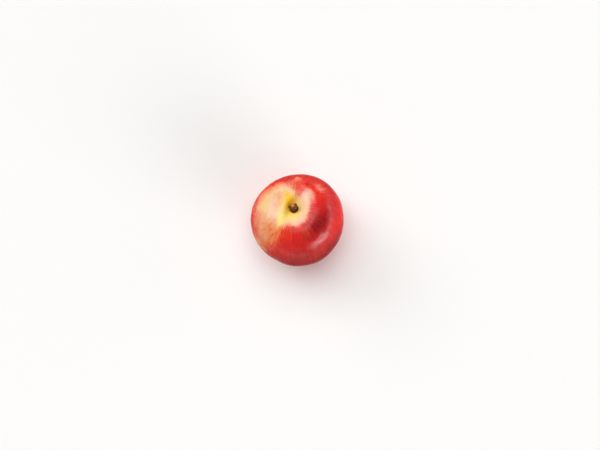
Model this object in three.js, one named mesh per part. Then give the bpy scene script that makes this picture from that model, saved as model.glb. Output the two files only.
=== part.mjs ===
// A whole ripe nectarine, leaning the way it comes to rest, with the woody remnant of its stalk
// standing in the stem cavity. Millimetres, +Z up, the flat spot it rests on at z = 0.
import * as THREE from "three";

const { degToRad, lerp, smoothstep } = THREE.MathUtils;

// Body of the fruit, in its own frame: +x to the suture, +z along the stem axis, origin at its middle.
const HALF_WIDTH_SUTURE = 32.9;
const HALF_WIDTH_CHEEKS = 32.7;
const HALF_HEIGHT = 29.6;
const SHOULDER_FULLNESS = 0.06; // share of the radius added half way up towards the stem
const BASE_FULLNESS = 0.012; // the same, half way down towards the blossom end
const OVAL_LOBE = -0.012; // out-of-round shares of the radius, strongest at the equator
const OVAL_LOBE_AT = degToRad(47);
const THREE_LOBE = -0.016;
const THREE_LOBE_AT = degToRad(-8);

// Stem cavity: a funnel with a steep wall on one side and a gentle one on the other,
// drawn out along the suture, with a small pit at the bottom that holds the stalk.
const CAVITY_DEPTH = 6.6;
const CAVITY_TO_SUTURE = 9;
const CAVITY_TO_BACK = 8;
const CAVITY_TO_STEEP_SIDE = 4.4;
const CAVITY_TO_GENTLE_SIDE = 8;
const CAVITY_SIDES_BLEND = 6; // distance from the axis at which one side's shape takes over
const STEEP_SIDE_SHARPNESS = 3.2; // how abruptly each wall meets the shoulder
const GENTLE_SIDE_SHARPNESS = 2;
const DISH_DEPTH = 1.6; // the wide sag of the shoulders round the funnel
const DISH_RADIUS = 17;
const PIT_DEPTH = 0.6;
const PIT_RADIUS = 3.2;

// Suture groove from the cavity to the blossom end, and the short notch opposite.
const GROOVE_AT_SHOULDER = 1;
const GROOVE_AT_EQUATOR = 0.28;
const GROOVE_AT_BASE = 0.95;
const GROOVE_HALF_WIDTH = 3;
const GROOVE_STARTS = 2; // distance from the axis where it begins, and where it is fully there
const GROOVE_FULL = 12;
const NOTCH_DEPTH = 0.9;
const NOTCH_HALF_WIDTH = 2.4;
const NOTCH_FULL = 10;
const FURROW_ROUNDING = 0.4; // half width of the rounded bottom of either

// Blossom end: a shallow dimple with the blunt nub of the style scar in it.
const DIMPLE_DEPTH = 1.7;
const DIMPLE_RADIUS = 5;
const NUB_HEIGHT = 1.1;
const NUB_RADIUS = 1.4;

// Resting pose: the stem axis leans, and the body settles on a small flat spot.
const LEAN = degToRad(23);
const LEAN_TOWARDS = degToRad(108);
const SUTURE_TOWARDS = degToRad(243);
const FLAT_DEPTH = 0.75; // height given up at the lowest point
const FLAT_EDGE = 0.12; // rounding where the flat meets the skin

// Stalk remnant: a waisted woody stub with a thick rim and a hollow, slanting top.
const SKIN_GAP = 0.42; // under the foot; the wall of the pit is slightly nearer
const STUB_FOOT_RADIUS = 2.4;
const STUB_FOOT_RISE = 2.6; // how far the rounded underside climbs to the side wall
const STUB_FOOT_STEPS = 5;
const STUB_WAIST_RADIUS = 2.35;
const STUB_RIM_RADIUS = 2.7;
const STUB_RIM_THICKNESS = 0.6;
const STUB_HEIGHT = 4.8;
const STUB_CUP_RADIUS = 1.8;
const STUB_CUP_DEPTH = 0.7;
const STUB_OUT_OF_ROUND = 0.05;
const STUB_TOP_SLANT = 0.14; // rise of the top per millimetre across it
const STUB_SPUR = 0.38; // share of the radius by which the rim is drawn out over the steep side
const STUB_SPUR_AT = degToRad(-73);
const STUB_SPUR_HALF_WIDTH = degToRad(34);

// Mesh fineness: rings crowd towards the stem, columns crowd towards the suture.
const FRUIT_COLUMNS = 76;
const FRUIT_RINGS = 46;
const RING_CROWDING = 0.45;
const COLUMN_CROWDING = 0.4;
const STUB_COLUMNS = 28;

const SKIN = new THREE.MeshStandardMaterial({ color: 0xcf4a32, roughness: 0.38, metalness: 0 });
const WOOD = new THREE.MeshStandardMaterial({ color: 0x6b4423, roughness: 0.85, metalness: 0 });

const hill = (x, halfWidth) => Math.exp(-((x / halfWidth) ** 2));

// Sharper at the bottom than a hill turned over.
const furrow = (x, halfWidth) => Math.exp(-((Math.hypot(x, FURROW_ROUNDING) / halfWidth) ** 1.4));

// A slightly lobed ball, full at the shoulders. up is the cosine of the angle from the stem axis.
function bodyPoint(direction, around) {
  const up = direction.z;
  const out = Math.hypot(direction.x, direction.y);
  const fullness = lerp(BASE_FULLNESS, SHOULDER_FULLNESS, smoothstep(up, -0.6, 0.6));
  const bulge = fullness * (2 * out * up) ** 2;
  const oval = OVAL_LOBE * out ** 2 * Math.cos(2 * (around - OVAL_LOBE_AT));
  const threeCornered = THREE_LOBE * out ** 3 * Math.cos(3 * (around - THREE_LOBE_AT));
  return new THREE.Vector3(HALF_WIDTH_SUTURE, HALF_WIDTH_CHEEKS, HALF_HEIGHT)
    .multiply(direction)
    .multiplyScalar(1 + bulge + oval + threeCornered);
}

// Depth of the suture groove and of the notch opposite it.
function furrowDepth(point, up) {
  const towardsShoulder = smoothstep(up, 0.1, 0.85);
  const towardsBase = smoothstep(-up, 0.3, 0.9);
  const upper = lerp(GROOVE_AT_EQUATOR, GROOVE_AT_SHOULDER, towardsShoulder);
  const groove = lerp(upper, GROOVE_AT_BASE, towardsBase);
  const grooveThere = smoothstep(point.x, GROOVE_STARTS, GROOVE_FULL);
  const notch = NOTCH_DEPTH * smoothstep(up, 0.5, 0.9);
  const notchThere = smoothstep(-point.x, GROOVE_STARTS, NOTCH_FULL);
  return (
    groove * grooveThere * furrow(point.y, GROOVE_HALF_WIDTH) +
    notch * notchThere * furrow(point.y, NOTCH_HALF_WIDTH)
  );
}

function cavityDepth(point) {
  const sutureSide = smoothstep(point.x, -CAVITY_SIDES_BLEND, CAVITY_SIDES_BLEND);
  const gentleSide = smoothstep(point.y, -CAVITY_SIDES_BLEND, CAVITY_SIDES_BLEND);
  const along = point.x / lerp(CAVITY_TO_BACK, CAVITY_TO_SUTURE, sutureSide);
  const across = point.y / lerp(CAVITY_TO_STEEP_SIDE, CAVITY_TO_GENTLE_SIDE, gentleSide);
  const sharpness = lerp(STEEP_SIDE_SHARPNESS, GENTLE_SIDE_SHARPNESS, gentleSide);
  const fromAxis = Math.hypot(point.x, point.y);
  return (
    CAVITY_DEPTH * Math.exp(-(Math.hypot(along, across) ** sharpness)) +
    DISH_DEPTH * hill(fromAxis, DISH_RADIUS) +
    PIT_DEPTH * hill(fromAxis, PIT_RADIUS)
  );
}

function blossomDepth(point) {
  const fromAxis = Math.hypot(point.x, point.y);
  return DIMPLE_DEPTH * hill(fromAxis, DIMPLE_RADIUS) - NUB_HEIGHT * hill(fromAxis, NUB_RADIUS);
}

// The skin at a polar angle from the stem axis and an angle round it from the suture.
function skinPoint(polar, around) {
  const up = Math.cos(polar);
  const out = Math.sin(polar);
  const direction = new THREE.Vector3(out * Math.cos(around), out * Math.sin(around), up);
  const point = bodyPoint(direction, around);
  point.addScaledVector(direction, -furrowDepth(point, up));
  const stemEnd = smoothstep(up, 0, 0.4);
  const blossomEnd = smoothstep(-up, 0, 0.4);
  point.z += blossomEnd * blossomDepth(point) - stemEnd * cavityDepth(point);
  return point;
}

// Turns the fruit's own frame into its leaning pose.
function leaningPose() {
  const stemAxis = new THREE.Vector3(
    Math.sin(LEAN) * Math.cos(LEAN_TOWARDS),
    Math.sin(LEAN) * Math.sin(LEAN_TOWARDS),
    Math.cos(LEAN),
  );
  const suture = new THREE.Vector3(Math.cos(SUTURE_TOWARDS), Math.sin(SUTURE_TOWARDS), 0);
  suture.addScaledVector(stemAxis, -suture.dot(stemAxis)).normalize();
  const cheek = new THREE.Vector3().crossVectors(stemAxis, suture);
  return new THREE.Matrix4().makeBasis(suture, cheek, stemAxis);
}

function movePoints(geometry, move) {
  const positions = geometry.getAttribute("position");
  const point = new THREE.Vector3();
  for (let i = 0; i < positions.count; i++) {
    point.fromBufferAttribute(positions, i);
    const moved = move(point);
    positions.setXYZ(i, moved.x, moved.y, moved.z);
  }
  geometry.computeVertexNormals();
}

// Both edges of a surface's seam get exactly the same number.
const clean = (value) => Math.round(value * 1e6) / 1e6 + 0;

function fruitGeometry() {
  const sphere = new THREE.SphereGeometry(1, FRUIT_COLUMNS, FRUIT_RINGS).rotateX(Math.PI / 2);
  movePoints(sphere, (onSphere) => {
    const evenPolar = Math.acos(clean(onSphere.z));
    const evenAround = Math.atan2(clean(onSphere.y), clean(onSphere.x));
    const nearStem = 0.5 * (1 + Math.cos(evenPolar));
    const polar = evenPolar - RING_CROWDING * nearStem * Math.sin(evenPolar);
    const around = evenAround - COLUMN_CROWDING * Math.sin(evenAround);
    return skinPoint(polar, around);
  });
  return sphere;
}

// Presses the flat spot into the lowest part of the skin and says how high the floor is,
// measured from the fruit's middle along its upward direction.
function pressFlatSpot(geometry, upward) {
  let lowest = Infinity;
  movePoints(geometry, (point) => {
    lowest = Math.min(lowest, point.dot(upward));
    return point;
  });
  const floor = lowest + FLAT_DEPTH;
  movePoints(geometry, (point) => {
    const height = point.dot(upward) - floor;
    const rounded = (height + FLAT_EDGE) ** 2 / (4 * FLAT_EDGE);
    const pressed = height < -FLAT_EDGE ? 0 : rounded;
    return height < FLAT_EDGE ? point.addScaledVector(upward, pressed - height) : point;
  });
  return floor;
}

// Outline of the stub from the middle of its underside to the middle of its hollow top.
function stubProfile() {
  const outline = [];
  for (let step = 0; step <= STUB_FOOT_STEPS; step++) {
    const share = step / STUB_FOOT_STEPS;
    outline.push(new THREE.Vector2(STUB_FOOT_RADIUS * share, STUB_FOOT_RISE * share ** 2));
  }
  const rimHeight = STUB_HEIGHT - STUB_RIM_THICKNESS;
  const cupFloor = STUB_HEIGHT - STUB_CUP_DEPTH;
  const onWall = (radiusShare, heightShare) =>
    new THREE.Vector2(
      lerp(STUB_WAIST_RADIUS, STUB_RIM_RADIUS, radiusShare),
      lerp(STUB_FOOT_RISE, rimHeight, heightShare),
    );
  const onBrim = (radiusShare, heightShare) =>
    new THREE.Vector2(
      lerp(STUB_CUP_RADIUS, STUB_RIM_RADIUS, radiusShare),
      lerp(rimHeight, STUB_HEIGHT, heightShare),
    );
  const inCup = (radiusShare, heightShare) =>
    new THREE.Vector2(STUB_CUP_RADIUS * radiusShare, lerp(cupFloor, STUB_HEIGHT, heightShare));
  outline.push(onWall(0, 0.4), onWall(0.8, 0.8), onWall(1, 1));
  outline.push(onBrim(0.8, 0.75), onBrim(0.4, 1));
  outline.push(inCup(1, 0.7), inCup(0.6, 0.1), inCup(0, 0));
  return outline;
}

function stubGeometry() {
  const stub = new THREE.LatheGeometry(stubProfile(), STUB_COLUMNS).rotateX(Math.PI / 2);
  movePoints(stub, (point) => {
    const around = Math.atan2(clean(point.y), clean(point.x));
    const aboveFoot = smoothstep(point.z, 0.6 * STUB_FOOT_RISE, STUB_HEIGHT);
    const lobes = Math.cos(2 * around + 0.6) + 0.6 * Math.sin(3 * around);
    const spur = STUB_SPUR * hill(around - STUB_SPUR_AT, STUB_SPUR_HALF_WIDTH);
    const swell = 1 + aboveFoot * (STUB_OUT_OF_ROUND * lobes + spur);
    const slant = STUB_TOP_SLANT * aboveFoot * (point.y - point.x);
    return point.set(point.x * swell, point.y * swell, point.z + slant);
  });
  return stub;
}

const fruit = new THREE.Mesh(fruitGeometry(), SKIN);
fruit.name = "fruit";

const stemStub = new THREE.Mesh(stubGeometry(), WOOD);
stemStub.name = "stem_stub";
stemStub.position.z = skinPoint(0, 0).z + SKIN_GAP;

const leaning = new THREE.Group();
leaning.setRotationFromMatrix(leaningPose());
leaning.add(fruit, stemStub);

const upward = new THREE.Vector3(0, 0, 1).applyQuaternion(leaning.quaternion.clone().invert());
const floor = pressFlatSpot(fruit.geometry, upward);

// The origin is on the floor, under the middle of the whole.
const middle = new THREE.Box3().setFromObject(leaning, true).getCenter(new THREE.Vector3());
leaning.position.set(-middle.x, -middle.y, -floor);

const nectarine = new THREE.Group();
nectarine.name = "nectarine";
nectarine.add(leaning);

export default nectarine;
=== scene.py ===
from math import cos, pi, radians, sin

import bpy
import numpy as np
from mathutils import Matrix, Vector


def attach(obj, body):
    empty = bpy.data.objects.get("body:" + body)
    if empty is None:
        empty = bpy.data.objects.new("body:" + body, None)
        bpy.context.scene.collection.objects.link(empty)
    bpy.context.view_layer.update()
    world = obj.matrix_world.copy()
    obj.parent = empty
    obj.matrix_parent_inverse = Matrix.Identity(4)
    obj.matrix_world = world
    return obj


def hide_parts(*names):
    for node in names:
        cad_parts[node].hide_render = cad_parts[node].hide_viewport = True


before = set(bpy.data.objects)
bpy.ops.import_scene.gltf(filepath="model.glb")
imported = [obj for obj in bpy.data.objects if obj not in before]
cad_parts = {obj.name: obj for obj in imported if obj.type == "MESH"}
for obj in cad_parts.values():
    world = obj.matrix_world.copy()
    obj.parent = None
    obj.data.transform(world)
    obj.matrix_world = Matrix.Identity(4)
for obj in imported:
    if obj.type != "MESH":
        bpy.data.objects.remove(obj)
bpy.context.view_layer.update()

# Sizes are in millimetres unless a name says otherwise. MM turns them into Blender's metres.
MM = 0.001

# ---------------------------------------------------------------- the fruit's shape, as its solid has it
HALF_WIDTHS = np.array([32.9, 32.7, 29.6])  # towards the suture, towards the cheeks, along the stem axis
SHOULDER_FULLNESS = 0.06
BASE_FULLNESS = 0.012
OVAL_LOBE, OVAL_LOBE_AT = -0.012, radians(47)
THREE_LOBE, THREE_LOBE_AT = -0.016, radians(-8)
CAVITY_DEPTH = 6.6
CAVITY_TO_SUTURE, CAVITY_TO_BACK = 9.0, 8.0
CAVITY_TO_STEEP_SIDE, CAVITY_TO_GENTLE_SIDE = 4.4, 8.0
STEEP_SIDE_SHARPNESS, GENTLE_SIDE_SHARPNESS = 3.2, 2.0
CAVITY_SIDES_BLEND = 6.0
DISH_DEPTH, DISH_RADIUS = 1.6, 17.0
PIT_DEPTH, PIT_RADIUS = 0.6, 3.2
GROOVE_AT_SHOULDER, GROOVE_AT_EQUATOR, GROOVE_AT_BASE = 1.0, 0.28, 0.95
GROOVE_HALF_WIDTH, GROOVE_STARTS, GROOVE_FULL = 3.0, 2.0, 12.0
NOTCH_DEPTH, NOTCH_HALF_WIDTH, NOTCH_FULL = 0.9, 2.4, 10.0
FURROW_ROUNDING = 0.4
DIMPLE_DEPTH, DIMPLE_RADIUS = 1.7, 5.0
NUB_HEIGHT, NUB_RADIUS = 1.1, 1.4
LEAN, LEAN_TOWARDS, SUTURE_TOWARDS = radians(23), radians(108), radians(243)
FLAT_DEPTH, FLAT_EDGE = 0.75, 0.12

# ---------------------------------------------------------------- the stalk remnant
STUB_GAP = 0.42
STUB_FOOT_RADIUS, STUB_FOOT_RISE = 2.4, 2.6
STUB_WAIST_RADIUS, STUB_RIM_RADIUS, STUB_RIM_THICKNESS = 2.35, 2.7, 0.6
STUB_HEIGHT, STUB_CUP_RADIUS, STUB_CUP_DEPTH = 4.8, 1.8, 0.7
STUB_OUT_OF_ROUND, STUB_TOP_SLANT = 0.05, 0.14
STUB_SPUR, STUB_SPUR_AT, STUB_SPUR_HALF_WIDTH = 0.38, radians(-73), radians(34)  # a point on its rim

# ---------------------------------------------------------------- what only the visual meshes have
CUBE_FACE_CELLS = 126
STUB_COLUMNS, STUB_ROWS = 160, 64
STUB_UNDERSIDE = -STUB_GAP - 0.3  # the foot reaches this far down, across the gap and into the skin
FIBRE_RADIUS, FIBRE_STRETCH = 2.5, 0.2  # where the noise of the stub's fibres is read
STALK_RUSSET_RADIUS, STYLE_SCAR_RADIUS = 2.6, 1.3
ENDS_FROM = 10, 15  # distances from the middle at which the stem and blossom ends begin and are full
FRUIT_SWELLS = ((0.13, 17), (0.06, 6.5))  # height and wavelength of the low swells on the skin
FRUIT_SUNK = 0.1  # the skin lies this much inside its solid on average, so that swells hardly pass the box
SWELLS_START, SWELLS_FULL = 0.5, 6  # heights above the floor between which the swells come in
NEAR_STALK, OFF_STALK = 3, 9  # distances from the stem axis between which they come in
FIBRE_RELIEF = ((0.10, 1.3), (0.05, 0.5))  # heights and wavelengths on the stub
LUMP_RELIEF = ((0.10, 1.7), (0.05, 0.7))

PATTERN_DRIFT, DRIFT_LENGTH = 0.040, 15  # how the skin's pattern is pushed about: share and wavelength
PATTERN_SHIVER, SHIVER_LENGTH = 0.008, 5

# Seeds. Each use of random numbers has its own, counted on from one of these.
FRUIT_SEED, FIBRE_SEED, LUMP_SEED = 7, 9, 11
PATTERN_SEED, SHIVER_SEED_STEP = 41, 10


def smoothstep(x, low, high):
    """0 below low, 1 above high and a smooth rise between them."""
    share = np.clip((x - low) / (high - low), 0, 1)
    return share * share * (3 - 2 * share)


def lerp(a, b, share):
    """From a to b as the share goes from 0 to 1."""
    return a + (b - a) * share


def hill(x, half_width):
    """1 in the middle, fading out over about that half width."""
    return np.exp(-((x / half_width) ** 2))


def furrow(x, half_width):
    """As hill, but with a sharper bottom, rounded a little."""
    return np.exp(-((np.hypot(x, FURROW_ROUNDING) / half_width) ** 1.4))


def waves(points, wavelength, seed, count=24):
    """Smooth random relief of about that wavelength at each point, mostly from -1 to 1."""
    random = np.random.default_rng(seed)
    headings = random.normal(size=(count, 3))
    headings /= np.linalg.norm(headings, axis=1, keepdims=True)
    steps = 2 * pi / (wavelength * random.uniform(0.75, 1.35, count))
    phases = random.uniform(0, 2 * pi, count)
    return np.cos(points @ (headings * steps[:, None]).T + phases).sum(axis=1) / (0.5 * count) ** 0.5 / 2


def relief(points, layers, seed):
    """Layers of waves, each a (height, wavelength) pair with a seed of its own."""
    return sum(height * waves(points, length, seed + i) for i, (height, length) in enumerate(layers))


# ================================================================ shape of the skin
def body_points(directions, around):
    up = directions[:, 2]
    out = np.hypot(directions[:, 0], directions[:, 1])
    fullness = lerp(BASE_FULLNESS, SHOULDER_FULLNESS, smoothstep(up, -0.6, 0.6))
    bulge = fullness * (2 * out * up) ** 2
    oval = OVAL_LOBE * out**2 * np.cos(2 * (around - OVAL_LOBE_AT))
    three_cornered = THREE_LOBE * out**3 * np.cos(3 * (around - THREE_LOBE_AT))
    return directions * HALF_WIDTHS * (1 + bulge + oval + three_cornered)[:, None]


def furrow_depth(points, up):
    upper = lerp(GROOVE_AT_EQUATOR, GROOVE_AT_SHOULDER, smoothstep(up, 0.1, 0.85))
    groove = lerp(upper, GROOVE_AT_BASE, smoothstep(-up, 0.3, 0.9))
    groove_there = smoothstep(points[:, 0], GROOVE_STARTS, GROOVE_FULL)
    notch = NOTCH_DEPTH * smoothstep(up, 0.5, 0.9)
    notch_there = smoothstep(-points[:, 0], GROOVE_STARTS, NOTCH_FULL)
    return groove * groove_there * furrow(points[:, 1], GROOVE_HALF_WIDTH) + (
        notch * notch_there * furrow(points[:, 1], NOTCH_HALF_WIDTH)
    )


def cavity_depth(points):
    suture_side = smoothstep(points[:, 0], -CAVITY_SIDES_BLEND, CAVITY_SIDES_BLEND)
    gentle_side = smoothstep(points[:, 1], -CAVITY_SIDES_BLEND, CAVITY_SIDES_BLEND)
    along = points[:, 0] / lerp(CAVITY_TO_BACK, CAVITY_TO_SUTURE, suture_side)
    across = points[:, 1] / lerp(CAVITY_TO_STEEP_SIDE, CAVITY_TO_GENTLE_SIDE, gentle_side)
    sharpness = lerp(STEEP_SIDE_SHARPNESS, GENTLE_SIDE_SHARPNESS, gentle_side)
    from_axis = np.hypot(points[:, 0], points[:, 1])
    return (
        CAVITY_DEPTH * np.exp(-(np.hypot(along, across) ** sharpness))
        + DISH_DEPTH * hill(from_axis, DISH_RADIUS)
        + PIT_DEPTH * hill(from_axis, PIT_RADIUS)
    )


def blossom_depth(points):
    from_axis = np.hypot(points[:, 0], points[:, 1])
    return DIMPLE_DEPTH * hill(from_axis, DIMPLE_RADIUS) - NUB_HEIGHT * hill(from_axis, NUB_RADIUS)


def skin_points(directions):
    """Where the skin is, in the fruit's own frame, in each of these directions from its middle."""
    up = directions[:, 2]
    around = np.arctan2(directions[:, 1], directions[:, 0])
    points = body_points(directions, around)
    points -= directions * furrow_depth(points, up)[:, None]
    blossom_end = smoothstep(-up, 0, 0.4) * blossom_depth(points)
    stem_end = smoothstep(up, 0, 0.4) * cavity_depth(points)
    points[:, 2] += blossom_end - stem_end
    return points


def leaning_axes():
    """The fruit's own x, y and z directions as it rests, one in each row."""
    stem_axis = np.array([sin(LEAN) * cos(LEAN_TOWARDS), sin(LEAN) * sin(LEAN_TOWARDS), cos(LEAN)])
    suture = np.array([cos(SUTURE_TOWARDS), sin(SUTURE_TOWARDS), 0.0])
    suture -= stem_axis * suture.dot(stem_axis)
    suture /= np.linalg.norm(suture)
    return np.array([suture, np.cross(stem_axis, suture), stem_axis])


def cube_sphere(cells):
    """Directions of a ball of six square grids, its four-cornered faces, and each corner's map place."""
    ticks = np.tan(np.linspace(-pi / 4, pi / 4, cells + 1))
    across, upwards = np.meshgrid(ticks, ticks, indexing="ij")
    flat = np.ones_like(across)
    sides = (
        (flat, across, upwards),
        (-flat, -across, upwards),
        (-across, flat, upwards),
        (across, -flat, upwards),
        (-upwards, across, flat),
        (upwards, across, -flat),
    )
    grid = np.arange((cells + 1) ** 2).reshape(cells + 1, cells + 1)
    corners = np.stack([grid[:-1, :-1], grid[1:, :-1], grid[1:, 1:], grid[:-1, 1:]], axis=-1)
    corners = corners.reshape(-1, 4)
    shares = np.linspace(0, 1, cells + 1)
    places = np.stack(np.meshgrid(shares, shares, indexing="ij"), -1).reshape(-1, 2)
    margin = 0.02
    directions, faces, maps = [], [], []
    for number, side in enumerate(sides):
        points = np.stack(side, axis=-1).reshape(-1, 3)
        directions.append(points / np.linalg.norm(points, axis=1, keepdims=True))
        faces.append(corners + number * len(points))
        island = np.array([number % 3, number // 3])
        maps.append(((places * (1 - 2 * margin) + margin + island) / (3, 2))[corners])
    directions, faces = np.concatenate(directions), np.concatenate(faces)
    _, first, same = np.unique(np.round(directions, 6), axis=0, return_index=True, return_inverse=True)
    return directions[first], same.reshape(-1)[faces], np.concatenate(maps).reshape(-1, 2)


def mesh_object(name, points, faces):
    """A smooth-shaded piece made of points in metres and faces, each a list of point numbers."""
    mesh = bpy.data.meshes.new(name)
    mesh.from_pydata(points.tolist(), [], faces)
    mesh.shade_smooth()
    piece = bpy.data.objects.new(name, mesh)
    bpy.context.scene.collection.objects.link(piece)
    return piece


def add_field(piece, name, values):
    """Keeps a number or a vector for each vertex, for the material to read."""
    kind, key = ("FLOAT_VECTOR", "vector") if values.ndim == 2 else ("FLOAT", "value")
    field = piece.data.attributes.new(name, kind, "POINT")
    field.data.foreach_set(key, values.astype(np.float32).ravel())


# ================================================================ where each colour of the skin lies
# A place on the skin is two angles in degrees: how far from the stem axis, and how far round from the
# suture, counted against the clock as seen from the stem end.

# The red starts this far from the stem, and fades in over this much to either side.
BLUSH_STARTS = (
    (0, 27, 8),
    (22, 24, 6.2),
    (45, 27.5, 7.5),
    (65, 24.8, 6.6),
    (90, 22.8, 6),
    (115, 22.5, 6),
    (140, 25, 7),
    (165, 29, 9),
    (190, 31, 13),
    (220, 34, 15),
    (245, 42, 18),
    (272, 50, 20),
    (300, 50, 22),
    (325, 45, 24),
    (345, 35, 16),
)


def curve_round(around, stops):
    """A smooth closed curve through (angle, value) stops, read at each angle."""
    places, values = np.array([*stops, (stops[0][0] + 360, stops[0][1])], float).T
    after = np.searchsorted(places, around % 360, side="right").clip(1, len(places) - 1)
    share = smoothstep(around % 360, places[after - 1], places[after])
    return lerp(values[after - 1], values[after], share)


def soft_spot(directions, from_stem, around, length, width):
    """1 at a place, fading out over a length down the fruit and a width round it, both in degrees."""
    polar, turn = radians(from_stem), radians(around)
    middle = np.array([sin(polar) * cos(turn), sin(polar) * sin(turn), cos(polar)])
    down = np.array([cos(polar) * cos(turn), cos(polar) * sin(turn), -sin(polar)])
    side = np.cross(middle, down)
    along = np.degrees(np.arctan2(directions @ down, directions @ middle))
    across = np.degrees(np.arctan2(directions @ side, directions @ middle))
    return hill(np.hypot(along / length, across / width), 1)


def spots(directions, *places):
    """Several soft spots together: (from stem, around, length, width, strength)."""
    return sum(strength * soft_spot(directions, *place) for *place, strength in places)


def pattern_push(points, seed):
    """How far the pattern is pushed about, as a share of the distance from the fruit's middle."""
    drift = PATTERN_DRIFT * waves(points, DRIFT_LENGTH, seed)
    return drift + PATTERN_SHIVER * waves(points, SHIVER_LENGTH, seed + SHIVER_SEED_STEP)


def skin_fields(straight, points):
    """What the skin's material reads: numbers for each vertex, by name."""
    # Nothing on a fruit is quite regular: the pattern is pushed about a little.
    pushed = [pattern_push(points, PATTERN_SEED + axis) for axis in range(3)]
    out_of_cavity = smoothstep(np.degrees(np.arccos(straight[:, 2].clip(-1, 1))), 8, 24)
    directions = straight + np.stack(pushed, axis=-1) * out_of_cavity[:, None]
    directions /= np.linalg.norm(directions, axis=1, keepdims=True)
    from_stem = np.degrees(np.arccos(directions[:, 2].clip(-1, 1)))
    around = np.degrees(np.arctan2(directions[:, 1], directions[:, 0]))
    starts = curve_round(around, [(place, start) for place, start, _ in BLUSH_STARTS])
    fade = curve_round(around, [(place, fade) for place, _, fade in BLUSH_STARTS])
    blush = smoothstep(from_stem, starts - fade, starts + fade)
    less_red = spots(
        directions,
        (84, 333, 26, 17, 0.55),  # the shaded side, orange and yellow down to the base
        (46, 344, 24, 17, 0.58),
        (160, 325, 24, 60, 0.35),  # round the blossom end
        (112, 262, 22, 30, 0.50),  # and low behind
        (38, 292, 8, 10, 0.70),  # the palest part of the cheek
        (57, 308, 9, 14, 0.32),  # and its outer edge
        (42, 201, 7, 6, 0.60),  # pale patches on the far shoulder
        (44, 160, 7, 9, 0.56),
        (26, 160, 8, 9, 0.40),
        (26, 186, 4, 9, 0.45),
    )
    more_red = spots(
        directions,
        (21, 192, 8, 6, 0.58),  # a drop-shaped spot on the rim of the cavity
        (28, 205, 6, 5, 0.30),
        (33, 178, 8, 6, 0.30),
        (21, 278, 8, 13, 0.24),  # the pale cheek is warmer next to the cavity
        (38, 340, 9, 8, 0.20),
        (44, 312, 7, 8, 0.06),
        (62, 347, 8, 8, 0.07),
        (40, 250, 10, 14, 0.20),
    )
    # Maroon over the red is partly the skin's deeper red and partly painted light: a painted dark
    # reflection on the darkest patch, and painted shade low on the fruit's darker side.
    deep_red_and_shade = spots(
        directions,
        # Partly a painted dark reflection:
        (41, 86, 13, 24, 1.0),  # the darkest red, on the sunny shoulder
        # Painted shade low on that side, where the fruit is darker from how the light falls:
        (100, 45, 34, 60, 1.0),  # and low on the same side
        (90, 85, 16, 20, 0.5),
        (110, 170, 40, 60, 0.45),
        (80, 215, 30, 30, 0.40),
        (53, 138, 12, 26, 0.24),  # a little of it all along the sunny rim
        (65, 62, 11, 28, 0.22),
    )
    # Pinkish white is partly the skin's paler pink ground and partly painted light: painted sheen on the
    # fringe, painted glints on the far shoulder, a painted highlight on the cheek and a painted reflection
    # of the floor on the cheek's rim.
    pink_and_sheen = spots(
        directions,
        (20, 60, 12, 20, 0.7),  # the fringe inside the red is pinkish white
        (20, 115, 12, 30, 1.0),
        # Painted glints on the far shoulder:
        (32, 175, 22, 34, 1.0),  # and so is the far shoulder
        (44, 161, 9, 14, 0.6),
        # A painted reflection of the floor on the cheek's rim:
        (55, 285, 15, 50, 0.9),  # and the rim of the pale cheek
        # A painted highlight on the pale cheek:
        (27, 301, 6, 13, 0.8),
    )
    # Gold is mostly painted shade: the deep gold that the cavity's walls take where they are in shade, all
    # round the stalk and on the steep wall. Out on the cheek it is the skin's own golden tone.
    gold_and_shade = 0.12 * hill(from_stem, 6) + spots(
        directions,
        (9, 238, 6, 8, 1.0),  # the shaded wall of the cavity
        (16, 236, 6, 4, 0.8),
        (7, 290, 5, 9, 0.6),
        (41, 285, 9, 14, 0.30),
    )
    # Yellow is the skin's yellower ground near the stalk. Along the suture where it leaves the cavity, and
    # on the cavity's back wall, it is partly painted light: bright yellow put where the walls lie in shade.
    yellow = 0.42 * hill(from_stem, 13) + spots(
        directions,
        (7, 330, 6, 8, 0.9),  # the suture where it leaves the cavity
        (16, 348, 8, 5, 0.9),
        (27, 353, 7, 4, 0.7),
        (10, 30, 8, 10, 0.6),
        (9, 180, 8, 20, 0.2),
    )
    past_edge = from_stem - starts
    rays = smoothstep(past_edge, -1, 5) * smoothstep(-past_edge, -28, -8)
    return {
        "fruit_mm": points,
        "blush": np.clip(blush * (1 - less_red) + more_red, 0, 1),
        "stir": 4 / fade,
        "flame": 0.35 + 0.65 * smoothstep(from_stem, 32, 50),
        "deep_red_and_shade": deep_red_and_shade,
        "pink_and_sheen": pink_and_sheen,
        "gold_and_shade": gold_and_shade,
        "yellow": yellow,
        "rays": rays * (0.10 + 0.90 * soft_spot(directions, 34, 28, 22, 26)),
    }


# ================================================================ materials
def colour(code):
    """Linear red, green, blue and alpha of a six-digit sRGB code."""
    shares = [int(code[i : i + 2], 16) / 255 for i in (0, 2, 4)]
    return [s / 12.92 if s <= 0.04045 else ((s + 0.055) / 1.055) ** 2.4 for s in shares] + [1.0]


CREAM = colour("f0d69c")
PINK_CREAM = colour("f6c3a8")
PINK_PEACH = colour("f0a794")
PINK_SALMON = colour("ea6a5a")
GOLD = colour("ffc020")
YELLOW = colour("ffe27c")
PEACH = colour("f0b083")
SALMON = colour("f08a50")
SCARLET = colour("ea3226")
RED = colour("da2420")
CRIMSON = colour("b8142a")
VERMILION = colour("ec4a20")
MAROON = colour("7f0f14")
PALE_FRECKLE = colour("f08e74")
TAN = colour("ae663a")
RUSSET = colour("8a5a2a")
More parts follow.
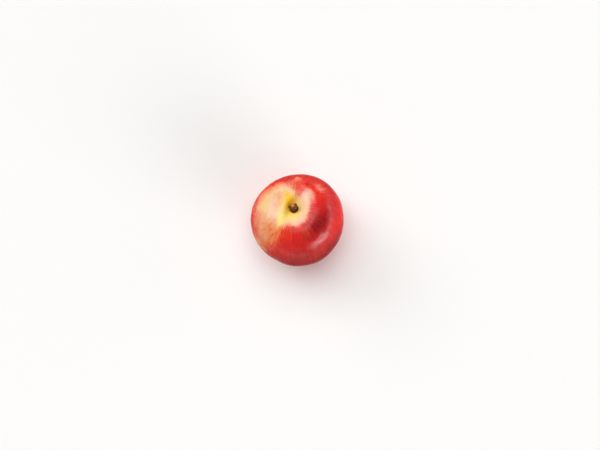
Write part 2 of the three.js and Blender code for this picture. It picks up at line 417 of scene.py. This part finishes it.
# From pale to red, on most of the skin and where it is pinker, which is partly painted sheen.
CHEEK_COLOURS = ((0.0, CREAM), (0.25, PEACH), (0.5, SALMON), (0.78, SCARLET), (1.0, RED))
PINK_COLOURS = ((0.0, PINK_CREAM), (0.25, PINK_PEACH), (0.5, PINK_SALMON), (0.78, SCARLET), (1.0, RED))
# The stalk's wood from dark to light, and what lies over it: field, then the fibres' noise from low to
# high and how much it covers there.
WOOD_COLOURS = (
    (0.34, colour("301202")),
    (0.5, colour("703406")),
    (0.62, colour("a65c14")),
    (0.76, colour("e0a050")),
)
# The tints on the broken top: painted shade round its rim, a darker middle to its cup set a little to one
# side, and a painted highlight on the other side.
WOOD_TINTS = (
    ("rim", 0.45, 0.7, 1.0, 0.2, colour("521e00")),
    ("hollow", 0.35, 0.65, 1.0, 0.5, colour("5c1e28")),
    ("painted_highlight", 0.3, 0.5, 0.5, 1.0, colour("f4b468")),
)
SHADED_WOOD = colour("2a1006")

# Strength of the skin's reflections, from a place seen straight on (0) to one seen edge-on (1).
GLOSS = ((0.0, 0.34), (0.24, 0.56), (0.36, 0.38), (0.5, 0.10), (0.65, 0.02))
SKIN_ROUGHNESS, WOOD_ROUGHNESS = (0.15, 0.24), (0.62, 0.85)
SKIN_BUMP, WOOD_BUMP = 0.00016, 0.0002  # metres

# Streaks are noise read on a ring of this radius, at this share of the height, shaken by a slow noise.
STREAK_RADIUS, STREAK_STRETCH = 33.0, 0.11
SHAKE_SIZE, STREAK_SHAKE, RAY_SHAKE = 5.0, 2.2, 0.66
TAN_CLEAR_OF_STALK = 7.0, 13.0  # distances from the stem axis between which the tan specks come in


class Graph:
    """Builds a shader out of nodes. A value is a number, a list of numbers or another node's output."""

    def __init__(self, tree):
        self.tree = tree
        tree.nodes.clear()

    def add(self, kind, inputs=(), output=0, **settings):
        node = self.tree.nodes.new(kind)
        for name, value in settings.items():
            setattr(node, name, value)
        for key, value in dict(inputs).items():
            if isinstance(value, bpy.types.NodeSocket):
                self.tree.links.new(value, node.inputs[key])
            else:
                node.inputs[key].default_value = value
        return node.outputs[output]

    def math(self, operation, a, b=0.0, clamp=False):
        return self.add("ShaderNodeMath", {0: a, 1: b}, operation=operation, use_clamp=clamp)

    def plus(self, a, b):
        return self.math("ADD", a, b)

    def times(self, a, b):
        return self.math("MULTIPLY", a, b)

    def cover(self, value, most=1.0):
        """The value times most, kept from 0 to 1: how much of one colour lies over another."""
        return self.math("MULTIPLY", value, most, clamp=True)

    def between(self, value, low, high, from_value=0.0, to_value=1.0):
        """A smooth step from one number to another as the value goes from low to high."""
        inputs = {"Value": value, "From Min": low, "From Max": high}
        inputs |= {"To Min": from_value, "To Max": to_value}
        return self.add("ShaderNodeMapRange", inputs, interpolation_type="SMOOTHSTEP")

    def blend(self, share, a, b):
        inputs = {0: share, 6: a, 7: b}
        return self.add("ShaderNodeMix", inputs, output=2, data_type="RGBA", blend_type="MIX")

    def field(self, name, vector=False):
        output = "Vector" if vector else "Fac"
        return self.add("ShaderNodeAttribute", output=output, attribute_name=name)

    def noise(self, place, size, detail=2.0, roughness=0.5):
        """Noise from about 0.25 to 0.75 whose lumps are about that size, in the units of the place."""
        inputs = {"Vector": place, "Scale": 1 / size, "Detail": detail, "Roughness": roughness}
        return self.add("ShaderNodeTexNoise", inputs)

    def swing(self, place, size, detail=2.0, roughness=0.5):
        """The same noise, from about -1 to 1."""
        return self.times(self.plus(self.noise(place, size, detail, roughness), -0.5), 4.0)

    def ramp(self, value, stops):
        ramp = self.tree.nodes.new("ShaderNodeValToRGB")
        elements = ramp.color_ramp.elements
        while len(elements) < len(stops):
            elements.new(0.5)
        for element, (position, shade) in zip(elements, stops):
            element.position = position
            element.color = shade
        self.tree.links.new(value, ramp.inputs[0])
        return ramp.outputs[0]


def material(name):
    made = bpy.data.materials.new(name)
    made.use_nodes = True
    return made, Graph(made.node_tree)


def finish_material(graph, base, roughness, normal, gloss=None, **constants):
    """Joins colour, roughness and bump into the surface. What is the same all over is set on the shader."""
    shader = graph.tree.nodes.new("ShaderNodeBsdfPrincipled")
    for name, value in constants.items():
        shader.inputs[name.replace("_", " ")].default_value = value
    if gloss is not None:
        graph.tree.links.new(gloss, shader.inputs["Specular IOR Level"])
    for name, value in (("Base Color", base), ("Roughness", roughness), ("Normal", normal)):
        graph.tree.links.new(value, shader.inputs[name])
    output = graph.tree.nodes.new("ShaderNodeOutputMaterial")
    graph.tree.links.new(shader.outputs[0], output.inputs["Surface"])


def freckles(g, place, spacing, smallest, largest):
    """Round dots, one at most in each cell of that spacing, their radii as shares of it."""
    cells = g.tree.nodes.new("ShaderNodeTexVoronoi")
    cells.inputs["Scale"].default_value = 1 / spacing
    g.tree.links.new(place, cells.inputs["Vector"])
    chance = g.tree.nodes.new("ShaderNodeSeparateColor")
    g.tree.links.new(cells.outputs["Color"], chance.inputs[0])
    radius = g.between(chance.outputs[0], 0.3, 1.0, smallest, largest)
    dots = g.between(g.math("SUBTRACT", cells.outputs["Distance"], radius), -0.08, 0.08, 1.0, 0.0)
    return g.times(dots, g.between(chance.outputs[0], 0.3, 0.45))


def vector_math(g, operation, a, b, socket=1):
    return g.add("ShaderNodeVectorMath", {0: a, socket: b}, operation=operation)


def scaled(g, vector, factor):
    return vector_math(g, "SCALE", vector, factor, socket=3)


def streak_places(g, place):
    """Two places that change quickly round the fruit and slowly down it, and the distance from its axis.

    Noise read at them is drawn out along the meridians. One is shaken about, for the streaks, and the
    other barely, for the rays.
    """
    parts = g.tree.nodes.new("ShaderNodeSeparateXYZ")
    g.tree.links.new(place, parts.inputs[0])
    x, y, z = parts.outputs
    from_axis = g.math("SQRT", g.plus(g.times(x, x), g.times(y, y)))
    flat = g.add("ShaderNodeCombineXYZ", {0: x, 1: y})
    round_axis = g.add("ShaderNodeVectorMath", {0: flat}, operation="NORMALIZE")
    drop = g.add("ShaderNodeCombineXYZ", {2: g.times(z, STREAK_STRETCH)})
    straight = vector_math(g, "ADD", scaled(g, round_axis, STREAK_RADIUS), drop)
    noise = {"Vector": place, "Scale": 1 / SHAKE_SIZE, "Detail": 2.0}
    shake = g.add("ShaderNodeTexNoise", noise, output="Color")
    shaken = vector_math(g, "ADD", straight, scaled(g, shake, STREAK_SHAKE))
    barely = vector_math(g, "ADD", straight, scaled(g, shake, RAY_SHAKE))
    return shaken, barely, from_axis


def blush_share(g, place, streak_place, broad, mottle):
    """How red the skin is, from 0 to 1. Its edge is drawn out in streaks and breaks up into freckles."""
    fine = g.swing(streak_place, 0.75, 2)
    grain = g.swing(place, 0.7, 2, 0.6)
    blush = g.field("blush")
    unsure = g.times(g.times(blush, g.math("SUBTRACT", 1.0, blush)), 4.0)
    flames = g.times(g.times(g.swing(streak_place, 5.5, 2), 0.22), g.field("flame"))
    streaks = g.times(g.plus(g.times(broad, 0.20), g.times(fine, 0.26)), g.field("stir"))
    stirred = g.plus(g.plus(streaks, flames), g.plus(g.times(mottle, 0.12), g.times(grain, 0.06)))
    reach = g.between(unsure, 0.0, 1.0, 0.22, 1.0)
    share = g.plus(blush, g.times(stirred, reach))
    thin = g.times(g.between(share, -0.1, 0.3), g.between(share, 0.35, 0.75, 1.0, 0.0))
    specks = g.plus(freckles(g, place, 1.15, 0.12, 0.34), freckles(g, streak_place, 0.6, 0.08, 0.22))
    return g.math("ADD", share, g.times(specks, g.times(thin, 0.20)), clamp=True)


def pale_to_red(g, share):
    """The skin's colour by how red it is, pinker, yellower or golden where those fields say so; the pink is
    partly painted sheen, the gold mostly painted shade and the yellow partly painted light.
    """
    skin = g.ramp(share, CHEEK_COLOURS)
    skin = g.blend(g.cover(g.field("pink_and_sheen")), skin, g.ramp(share, PINK_COLOURS))
    yellow = g.times(g.field("yellow"), g.between(share, 0.3, 0.8, 1.0, 0.0))
    skin = g.blend(g.cover(yellow, 0.95), skin, YELLOW)
    gold_and_shade = g.times(g.field("gold_and_shade"), g.between(share, 0.15, 0.7, 1.0, 0.0))
    return g.blend(g.cover(gold_and_shade, 0.9), skin, GOLD)


def shaded_red(g, skin, share, place, streak_place, broad, mottle):
    """The red skin turned to vermilion and crimson in patches, and to maroon where it is deepest red and
    where shade is painted.
    """
    patches = g.times(g.swing(streak_place, 6.0, 4, 0.65), 0.38)
    warmth = g.plus(patches, g.times(g.swing(place, 7.0, 5, 0.65), 0.8))
    full_red = g.between(share, 0.6, 1.0)
    skin = g.blend(g.times(g.between(warmth, 0.0, 1.0, 0.0, 0.75), full_red), skin, VERMILION)
    skin = g.blend(g.times(g.between(warmth, -1.0, 0.0, 0.75, 0.0), full_red), skin, CRIMSON)
    blotches = g.swing(place, 7.0, 3, 0.55)
    uneven = g.plus(g.plus(broad, blotches), g.times(mottle, 0.6))
    deep_red_and_shade = g.plus(g.field("deep_red_and_shade"), g.times(uneven, 0.16))
    deep_red_and_shade = g.times(g.cover(deep_red_and_shade), g.between(share, 0.35, 0.85))
    return g.blend(g.cover(deep_red_and_shade, 0.92), skin, MAROON)


def skin_marks(g, skin, share, place, ray_place, from_axis, dots, mottle):
    """Tan specks on the pale skin, pale dots and fine pale rays on the red, and russet at both ends."""
    tan = g.times(freckles(g, place, 2.0, 0.06, 0.19), g.between(share, 0.0, 0.5, 0.75, 0.3))
    skin = g.blend(g.times(tan, g.between(from_axis, *TAN_CLEAR_OF_STALK)), skin, TAN)
    on_red = g.between(share, 0.4, 0.9)
    skin = g.blend(g.times(g.times(dots, on_red), 0.30), skin, PALE_FRECKLE)
    rays = g.plus(g.swing(ray_place, 0.8, 2), g.times(g.swing(ray_place, 2.4, 2), 0.5))
    rays = g.times(g.between(rays, 0.0, 1.4), g.field("rays"))
    skin = g.blend(g.times(g.times(rays, on_red), 0.50), skin, SALMON)
    return g.blend(g.times(g.field("russet"), g.between(mottle, -1.0, 1.0, 0.5, 1.0)), skin, RUSSET)


def skin_material():
    made, g = material("nectarine_skin")
    place = g.field("fruit_mm", vector=True)
    streak_place, ray_place, from_axis = streak_places(g, place)
    broad = g.swing(streak_place, 2.6, 2)
    mottle = g.swing(place, 3.2, 3, 0.6)
    dots = freckles(g, place, 1.6, 0.03, 0.12)
    share = blush_share(g, place, streak_place, broad, mottle)
    skin = pale_to_red(g, share)
    skin = shaded_red(g, skin, share, place, streak_place, broad, mottle)
    skin = skin_marks(g, skin, share, place, ray_place, from_axis, dots, mottle)

    peel = g.noise(place, 0.55, 2, 0.5)
    height = g.plus(g.times(peel, 0.22), g.times(dots, -0.10))
    height = g.plus(height, g.times(g.noise(place, 2.4, 2, 0.5), 1.25))
    bump = g.add("ShaderNodeBump", {"Strength": 0.4, "Distance": SKIN_BUMP, "Height": height})
    patchy = g.between(g.noise(place, 4.0, 3, 0.6), 0.3, 0.7, *SKIN_ROUGHNESS)
    roughness = g.plus(patchy, g.times(dots, 0.12))
    facing = g.add("ShaderNodeLayerWeight", {"Blend": 0.5}, output="Facing")
    gloss = g.ramp(facing, [(aslant, (level, level, level, 1.0)) for aslant, level in GLOSS])
    # The wax on the skin is uneven, so it shines in patches.
    wax = g.between(g.noise(place, 2.6, 3, 0.65), 0.36, 0.62, 0.6, 1.12)
    finish_material(g, skin, roughness, bump, gloss=g.times(gloss, wax), IOR=1.42)
    return made


def wood_material():
    made, g = material("nectarine_stalk")
    place = g.field("stub_mm", vector=True)
    stretched = vector_math(g, "MULTIPLY", place, (1.0, 1.0, 0.22))
    fibres = g.noise(stretched, 0.55, 3, 0.6)
    patches = g.noise(place, 1.3, 3, 0.6)
    wood = g.ramp(g.plus(g.times(fibres, 0.75), g.times(patches, 0.35)), WOOD_COLOURS)
    # Each tint lies over the last, thinner or fuller along the fibres: painted shade round the rim, the
    # darker middle of the cup, then a painted highlight.
    for field, low, high, from_value, to_value, tint in WOOD_TINTS:
        cover = g.times(g.field(field), g.between(fibres, low, high, from_value, to_value))
        wood = g.blend(cover, wood, tint)
    wood = g.blend(g.field("shaded"), wood, SHADED_WOOD)
    bump = g.add("ShaderNodeBump", {"Strength": 0.6, "Distance": WOOD_BUMP, "Height": fibres})
    roughness = g.between(patches, 0.3, 0.7, *WOOD_ROUGHNESS)
    finish_material(g, wood, roughness, bump, Specular_IOR_Level=0.15)
    return made


# ================================================================ the fruit
def place_fruit(skin, axes):
    """The fruit's points as it rests on its flat spot, and how far it was moved to get there."""
    points = skin @ axes
    floor = points[:, 2].min() + FLAT_DEPTH
    height = points[:, 2] - floor
    rounded = (height + FLAT_EDGE) ** 2 / (4 * FLAT_EDGE)
    flattened = np.where(height < FLAT_EDGE, rounded, height)
    points[:, 2] = np.where(height < -FLAT_EDGE, 0, flattened)
    middle = (points.min(axis=0) + points.max(axis=0)) / 2
    points[:, :2] -= middle[:2]
    return points, np.array([middle[0], middle[1], floor])


def swells(skin, points, axes):
    """How far each point of the resting fruit is pushed in or out by the swells on its skin."""
    from_axis = np.hypot(skin[:, 0], skin[:, 1])
    off_floor = smoothstep(points[:, 2], SWELLS_START, SWELLS_FULL)
    height = relief(skin, FRUIT_SWELLS, FRUIT_SEED)
    height *= off_floor * smoothstep(from_axis, NEAR_STALK, OFF_STALK)
    outward = skin / np.linalg.norm(skin, axis=1, keepdims=True) @ axes
    return outward * (height - FRUIT_SUNK)[:, None] * off_floor[:, None]


def russet(skin):
    """1 on the brown skin round the stalk and on the style's scar at the blossom end."""
    from_axis = np.hypot(skin[:, 0], skin[:, 1])
    round_stalk = hill(from_axis, STALK_RUSSET_RADIUS) * smoothstep(skin[:, 2], *ENDS_FROM)
    style_scar = hill(from_axis, STYLE_SCAR_RADIUS) * smoothstep(-skin[:, 2], *ENDS_FROM)
    return round_stalk + style_scar


axes = leaning_axes()
directions, faces, map_places = cube_sphere(CUBE_FACE_CELLS)
skin = skin_points(directions)
fruit_points, shift = place_fruit(skin, axes)
fruit_points += swells(skin, fruit_points, axes)
fruit = mesh_object("nectarine_fruit", fruit_points * MM, faces.tolist())
for name, values in skin_fields(directions, skin).items():
    add_field(fruit, name, values)
add_field(fruit, "russet", russet(skin))
bake_map = fruit.data.uv_layers.new(name="OFBake")
bake_map.data.foreach_set("uv", map_places.astype(np.float32).ravel())
fruit.data.materials.append(skin_material())
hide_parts("fruit")
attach(fruit, "root")


# ================================================================ the stalk remnant
def stub_profile():
    """Radius and height along the stub's surface, from under its foot to the middle of its hollow top."""
    rim_height = STUB_HEIGHT - STUB_RIM_THICKNESS
    return (
        (0.0, STUB_UNDERSIDE),
        (STUB_FOOT_RADIUS + 0.5, STUB_UNDERSIDE),
        (STUB_FOOT_RADIUS + 0.75, 0.55),
        (STUB_FOOT_RADIUS + 0.3, 1.15),
        (STUB_WAIST_RADIUS - 0.05, 1.9),
        (STUB_WAIST_RADIUS - 0.1, STUB_FOOT_RISE),
        (STUB_WAIST_RADIUS + 0.1, rim_height - 0.5),
        (STUB_RIM_RADIUS, rim_height),
        (STUB_RIM_RADIUS - 0.1, STUB_HEIGHT - 0.15),
        (STUB_RIM_RADIUS - 0.45, STUB_HEIGHT),
        (STUB_CUP_RADIUS, STUB_HEIGHT - 0.2),
        (STUB_CUP_RADIUS * 0.75, STUB_HEIGHT - STUB_CUP_DEPTH),
        (STUB_CUP_RADIUS * 0.4, STUB_HEIGHT - STUB_CUP_DEPTH + 0.1),
        (0.0, STUB_HEIGHT - STUB_CUP_DEPTH + 0.15),
    )


def smooth_stub():
    """The stub as rings of points, one ring in each row, and each point's angle round its middle."""
    corners = np.array(stub_profile())
    lengths = np.concatenate([[0], np.cumsum(np.linalg.norm(np.diff(corners, axis=0), axis=1))])
    steps = np.linspace(0, lengths[-1], STUB_ROWS + 1)[1:-1]
    radius = np.interp(steps, lengths, corners[:, 0])
    height = np.interp(steps, lengths, corners[:, 1])
    turn = np.linspace(0, 2 * pi, STUB_COLUMNS, endpoint=False)
    radius, around = np.meshgrid(radius, turn, indexing="ij")
    height = np.repeat(height[:, None], STUB_COLUMNS, axis=1)
    above_foot = smoothstep(height, 0.6 * STUB_FOOT_RISE, STUB_HEIGHT)
    lobes = np.cos(2 * around + 0.6) + 0.6 * np.sin(3 * around)
    round_from_spur = (around - STUB_SPUR_AT + pi) % (2 * pi) - pi
    spur = STUB_SPUR * hill(round_from_spur, STUB_SPUR_HALF_WIDTH)
    radius *= 1 + above_foot * (STUB_OUT_OF_ROUND * lobes + spur)
    x, y = radius * np.cos(around), radius * np.sin(around)
    height += STUB_TOP_SLANT * above_foot * (y - x)
    return np.stack([x, y, height], axis=-1), around


def roughen_stub(rings, around):
    """The rings with fibres down their sides and lumps on their top, in one list of points."""
    points = rings.reshape(-1, 3).copy()
    fibre_place = np.stack(
        [
            np.cos(around).ravel() * FIBRE_RADIUS,
            np.sin(around).ravel() * FIBRE_RADIUS,
            points[:, 2] * FIBRE_STRETCH,
        ],
        -1,
    )
    fibres = relief(fibre_place, FIBRE_RELIEF, FIBRE_SEED)
    lumps = relief(points, LUMP_RELIEF, LUMP_SEED)
    side = smoothstep(np.hypot(points[:, 0], points[:, 1]), 1.0, 2.0)
    raised = smoothstep(points[:, 2], 0.2, 1.5)
    points[:, :2] *= (1 + raised * side * (fibres + 0.5 * lumps) / STUB_RIM_RADIUS)[:, None]
    top = smoothstep(points[:, 2], STUB_HEIGHT - 1.4, STUB_HEIGHT - 0.4)
    points[:, 2] += top * (1.2 * lumps + 0.6 * fibres)
    return points


def stub_surface():
    """The stub's points in its own frame, closed under its foot and in its cup, and its faces."""
    rings, around = smooth_stub()
    rows, columns = around.shape
    points = roughen_stub(rings, around)
    under = np.array([[0, 0, STUB_UNDERSIDE]])
    cup_middle = np.array([[0, 0, points[-columns:, 2].mean()]])
    under_number, cup_number = rows * columns, rows * columns + 1
    neighbours = [(column, (column + 1) % columns) for column in range(columns)]
    faces = []
    for row in range(rows - 1):
        here, above = row * columns, (row + 1) * columns
        faces += [(here + c, here + n, above + n, above + c) for c, n in neighbours]
    last = (rows - 1) * columns
    faces += [(n, c, under_number) for c, n in neighbours]
    faces += [(last + c, last + n, cup_number) for c, n in neighbours]
    return np.concatenate([points, under, cup_middle]), faces


def stub_fields(points):
    """Where the broken top has painted shade round its rim, a darker middle to its cup and a painted
    highlight, and where the stub is painted darker lower down, in shade.
    """
    x, y, height = points.T
    painted_highlight = hill(np.hypot(x + 0.65, y + 1.3), 1.15) * smoothstep(height, 3, 4)
    hollow = 1 - smoothstep(np.hypot(x - 0.15, y - 0.45), 0.7, 1.5)
    rim = smoothstep(np.hypot(x, y), 1.7, 2.2) * smoothstep(height, 3.0, 4.0)
    return {
        "stub_mm": points,
        "painted_highlight": painted_highlight,
        "shaded": 0.65 * (1 - smoothstep(height, 3.4, 4.5)),
        "hollow": 0.85 * hollow * smoothstep(height, 2, 3),
        "rim": 0.7 * rim,
    }


stub_points, stub_faces = stub_surface()
foot = skin_points(np.array([[0.0, 0.0, 1.0]]))[0, 2] + STUB_GAP
stub_world = (stub_points + [0, 0, foot]) @ axes - shift
stub = mesh_object("nectarine_stalk", stub_world * MM, stub_faces)
for name, values in stub_fields(stub_points).items():
    add_field(stub, name, values)
stub.data.materials.append(wood_material())
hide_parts("stem_stub")
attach(stub, "root")


# ================================================================ floor
FLOOR_REACH = 8.0  # metres from its middle to each side

floor_mesh = bpy.data.meshes.new("floor")
floor_corners = [(x * FLOOR_REACH, y * FLOOR_REACH, 0) for x, y in ((-1, -1), (1, -1), (1, 1), (-1, 1))]
floor_mesh.from_pydata(floor_corners, [], [(0, 1, 2, 3)])
floor_sheet = bpy.data.objects.new("floor", floor_mesh)
bpy.context.scene.collection.objects.link(floor_sheet)
floor_material, g = material("floor_white")
paper = g.add("ShaderNodeBsdfDiffuse", {"Color": colour("f6f5f3")})
floor_output = g.tree.nodes.new("ShaderNodeOutputMaterial")
g.tree.links.new(paper, floor_output.inputs["Surface"])
floor_mesh.materials.append(floor_material)

# ================================================================ light
# The light has three parts: soft windows low at the sides, a wide soft round light overhead, and a faint
# dome that is brighter near the horizon. The camera sees a plain backdrop instead, as pale as the floor.
WINDOWS = (
    # azimuth, elevation, half width, half height, soft edge, all in degrees, and radiance
    (142, 33, 19, 13, 4, 3.8),
    (-42, 13, 20, 18, 5, 4.3),
    (-8, 7, 46, 8, 4, 2.2),
)
OVERHEAD_LIGHT = 3.35
OVERHEAD_EDGE = 0.84, 0.965  # cosines of the angles from its middle where it begins and is full
OVERHEAD_TILT, OVERHEAD_TOWARDS = radians(23), radians(98)
DOME_LIGHT, HORIZON_LIGHT = 0.16, 0.34
DOME_EVEN_FROM = 0.35  # cosine of the angle from the overhead light's middle, the dome even within it
BACKDROP_COLOUR, BACKDROP_LIGHT = (1, 0.998, 0.994, 1), 0.965


def window_light(g, towards, azimuth, elevation, half_width, half_height, edge, radiance):
    """Light from a window with soft edges: across its width, then times its height."""
    turned = g.add(
        "ShaderNodeVectorRotate",
        {"Vector": towards, "Angle": -radians(azimuth)},
        rotation_type="Z_AXIS",
    )
    parts = g.tree.nodes.new("ShaderNodeSeparateXYZ")
    g.tree.links.new(turned, parts.inputs[0])
    x, y, z = parts.outputs
    off_side = g.math("ABSOLUTE", g.math("ARCTAN2", y, x))
    off_height = g.math("ABSOLUTE", g.math("SUBTRACT", g.math("ARCSINE", z), radians(elevation)))
    across = g.between(off_side, radians(half_width - edge), radians(half_width + edge), radiance, 0.0)
    upright = g.between(off_height, radians(half_height - edge), radians(half_height + edge), 1.0, 0.0)
    return g.times(across, upright)


studio_world = bpy.data.worlds.new("studio")
bpy.context.scene.world = studio_world
studio_world.use_nodes = True
g = Graph(studio_world.node_tree)
towards = g.tree.nodes.new("ShaderNodeTexCoord").outputs["Generated"]
windows = [window_light(g, towards, *window) for window in WINDOWS]
light = windows[0]
for window in windows[1:]:
    light = g.plus(light, window)
sideways = sin(OVERHEAD_TILT)
brightest = Vector(
    (sideways * cos(OVERHEAD_TOWARDS), sideways * sin(OVERHEAD_TOWARDS), cos(OVERHEAD_TILT))
)
lean = g.add("ShaderNodeVectorMath", {0: towards, 1: brightest}, output=1, operation="DOT_PRODUCT")
dome = g.between(lean, 0.0, DOME_EVEN_FROM, HORIZON_LIGHT, DOME_LIGHT)
light = g.plus(light, g.plus(dome, g.between(lean, *OVERHEAD_EDGE, 0.0, OVERHEAD_LIGHT)))
studio = g.add("ShaderNodeBackground", {"Color": (1, 1, 1, 1), "Strength": light})
backdrop = g.add("ShaderNodeBackground", {"Color": BACKDROP_COLOUR, "Strength": BACKDROP_LIGHT})
seen = g.tree.nodes.new("ShaderNodeLightPath").outputs["Is Camera Ray"]
both = g.add("ShaderNodeMixShader", {0: seen, 1: studio, 2: backdrop})
world_output = g.tree.nodes.new("ShaderNodeOutputWorld")
g.tree.links.new(both, world_output.inputs["Surface"])

# ================================================================ camera
CAMERA_PLACE = Vector((0.0019, -0.0034, 1.213))  # metres, straight above, a little off the fruit's middle
CAMERA_LENS = 100
camera = bpy.data.objects.new("camera", bpy.data.cameras.new("camera"))
camera.data.lens = CAMERA_LENS
camera.location = CAMERA_PLACE
bpy.context.scene.collection.objects.link(camera)
bpy.context.scene.camera = camera
bpy.context.scene.view_settings.view_transform = "Standard"
